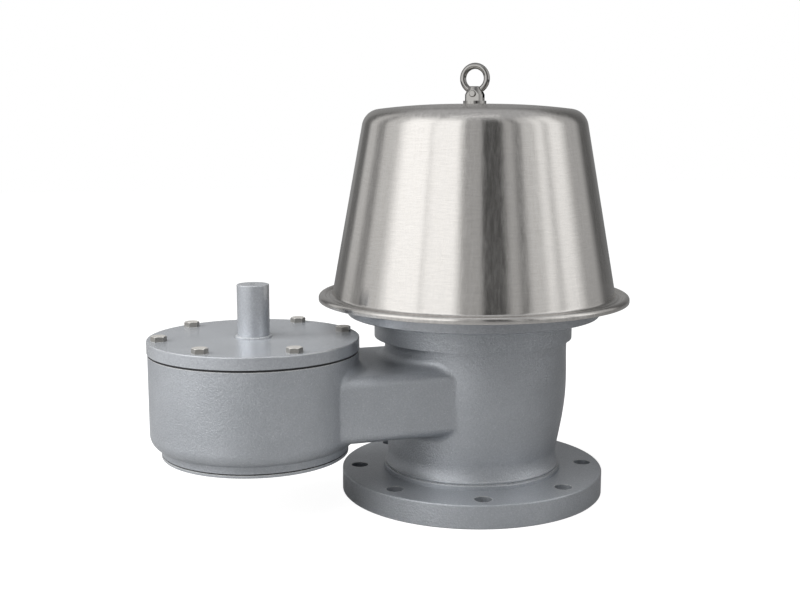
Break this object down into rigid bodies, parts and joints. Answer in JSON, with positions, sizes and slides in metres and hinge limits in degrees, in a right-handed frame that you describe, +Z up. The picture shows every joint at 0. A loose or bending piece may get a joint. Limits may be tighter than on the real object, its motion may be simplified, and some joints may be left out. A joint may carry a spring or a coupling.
{
  "type": "tank breather valve",
  "caption": "Tank breather valve: flanged grey housing with a hooded pressure pallet on top, and a side chamber with a vacuum pallet drawing air from below.",
  "frame": {"origin": "centre of the tank flange's lower face", "axes": "+Z up along the nozzle's axis, the vacuum chamber on the -X side, the eye on top"},
  "size_m": [0.6162, 0.3986, 0.5507],
  "materials": {
    "casting_paint": "semi-gloss blue-grey paint over sand-cast iron",
    "hood_stainless": "spun stainless sheet with a fine circular brushing",
    "machined_steel": "turned stainless steel",
    "bolt_steel": "bright stainless hexagon heads",
    "eye_steel": "polished steel",
    "gasket": "black gasket sheet",
    "diaphragm": "white fluoropolymer film",
    "bush": "filled fluoropolymer",
    "weight": "plain turned iron",
    "screen": "perforated stainless sheet"
  },
  "bodies": {
    "housing": {"tank_flange": "casting_paint", "valve_body": "casting_paint", "neck_ring": "casting_paint", "vacuum_chamber": "casting_paint", "seat_flange": "casting_paint", "vacuum_cover": "casting_paint", "inlet_ring": "casting_paint", "neck_gasket": "gasket", "cover_gasket": "gasket", "vacuum_seat_gasket": "gasket", "hood_pad": "gasket", "hood": "hood_stainless", "hood_bridge": "machined_steel", "hood_posts": "machined_steel", "hood_post_nuts": "bolt_steel", "discharge_screen": "screen", "inlet_screen": "screen", "screen_screws": "bolt_steel", "inlet_ring_screws": "bolt_steel", "seat_flange_screws": "bolt_steel", "pressure_seat": "machined_steel", "guide_spider": "machined_steel", "guide_rod": "machined_steel", "rod_nut": "bolt_steel", "lift_stop_collar": "machined_steel", "cover_bolts": "bolt_steel", "vacuum_guide_bush": "bush", "vacuum_seat": "machined_steel", "vacuum_seat_screws": "bolt_steel", "eye_washer": "eye_steel", "eye_clevis": "eye_steel", "eye_pin": "eye_steel"},
    "pressure_group": {"pressure_pallet": "machined_steel", "pressure_diaphragm": "diaphragm", "pressure_retainer": "machined_steel", "pressure_retainer_screws": "bolt_steel", "pressure_guide_bushes": "bush", "pressure_weights": "weight", "pressure_hub_nut": "bolt_steel"},
    "vacuum_group": {"vacuum_pallet": "machined_steel", "vacuum_diaphragm": "diaphragm", "vacuum_retainer": "machined_steel", "vacuum_stem": "machined_steel", "vacuum_stem_nuts": "bolt_steel", "vacuum_weight": "weight"},
    "lifting_ring": {"eye_ring": "eye_steel"}
  },
  "joints": [
    {"name": "pressure_lift", "type": "slide", "parent": "housing", "child": "pressure_group", "axis": [0, 0, 1], "range_m": [0, 0.045]},
    {"name": "vacuum_lift", "type": "slide", "parent": "housing", "child": "vacuum_group", "axis": [0, 0, 1], "range_m": [0, 0.035]},
    {"name": "eye_swing", "type": "hinge", "parent": "housing", "child": "lifting_ring", "pos_m": [0, 0, 0.5122], "axis": [0.6428, 0.766, 0], "range_deg": [-30, 30]}
  ]
}
